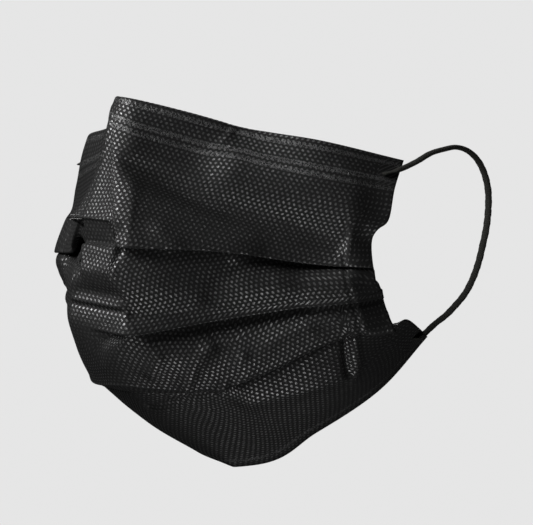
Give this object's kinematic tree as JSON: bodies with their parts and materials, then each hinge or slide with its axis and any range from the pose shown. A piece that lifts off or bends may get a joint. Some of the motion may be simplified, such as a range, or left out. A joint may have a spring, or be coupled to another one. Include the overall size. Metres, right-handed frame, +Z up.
{
  "type": "surgical mask",
  "caption": "Pleated ear-loop face mask of black nonwoven cloth in its worn form, open at the back for the face.",
  "frame": {"origin": "where the top edge of the mask sits on the bridge of the nose, on the middle line", "axes": "the wearer faces -Y, +X is the wearer's left, +Z is up; the halves mirror across X = 0"},
  "size_m": [0.1362, 0.11, 0.1125],
  "materials": {
    "outer_cloth": "matte spunbond with glossy bond dots",
    "lining_cloth": "matte",
    "wire": "satin",
    "elastic": "matte"
  },
  "bodies": {
    "root": {"outer_ply": "outer_cloth", "inner_ply": "lining_cloth", "nose_wire": "wire", "ear_loop_left": "elastic", "ear_loop_right": "elastic"}
  },
  "joints": []
}
